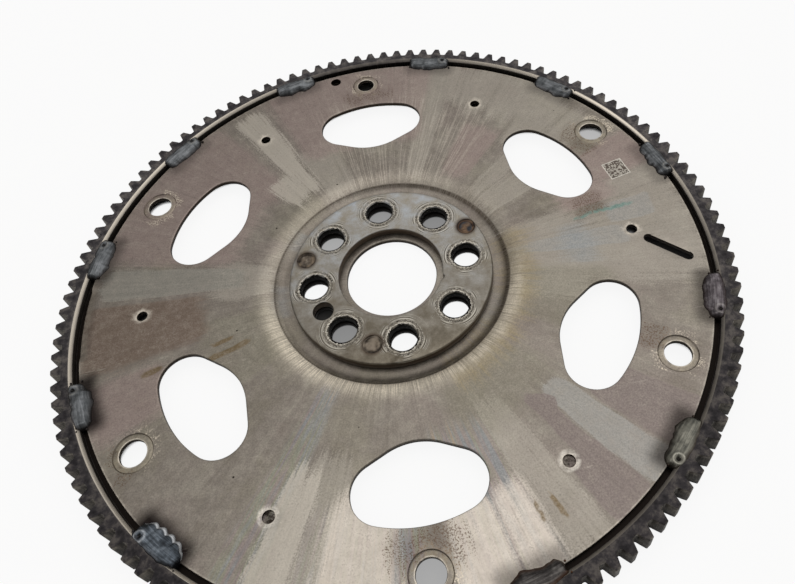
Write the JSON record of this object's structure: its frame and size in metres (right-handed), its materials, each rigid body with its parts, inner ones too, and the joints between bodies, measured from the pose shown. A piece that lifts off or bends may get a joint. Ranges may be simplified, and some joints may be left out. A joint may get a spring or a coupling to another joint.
{
  "type": "flexplate",
  "caption": "Automatic transmission flexplate: dished, windowed steel disc with a welded-on starter ring gear and a plug-welded hub reinforcement plate for the crankshaft bolts.",
  "frame": {"origin": "on the rotation axis, at the plane on which the ring gear rests", "axes": "+Z along the rotation axis towards the torque converter side, +Y through the tight-fitting converter hole, +X completes the right-handed set"},
  "size_m": [0.3398, 0.3398, 0.0119],
  "materials": {
    "sheet_steel": "stamped sheet with drawing lines, water stains and faint heat tint, satin",
    "gear_steel": "dark mottled oxide on the faces, cutter marks on the tooth flanks",
    "plate_steel": "ground plate, satin, with bolt-head witness rings",
    "plug_weld": "dark rough weld metal with slag",
    "weld_bead": "blue-grey lumpy weld metal with spatter"
  },
  "bodies": {
    "root": {"flexplate_disc": "sheet_steel", "ring_gear": "gear_steel", "hub_plate": "plate_steel", "plug_weld_1": "plug_weld", "plug_weld_2": "plug_weld", "plug_weld_3": "plug_weld", "weld_bead_01": "weld_bead", "weld_bead_02": "weld_bead", "weld_bead_03": "weld_bead", "weld_bead_04": "weld_bead", "weld_bead_05": "weld_bead", "weld_bead_06": "weld_bead", "weld_bead_07": "weld_bead", "weld_bead_08": "weld_bead", "weld_bead_09": "weld_bead", "weld_bead_10": "weld_bead", "weld_bead_11": "weld_bead", "weld_bead_12": "weld_bead"}
  },
  "joints": []
}
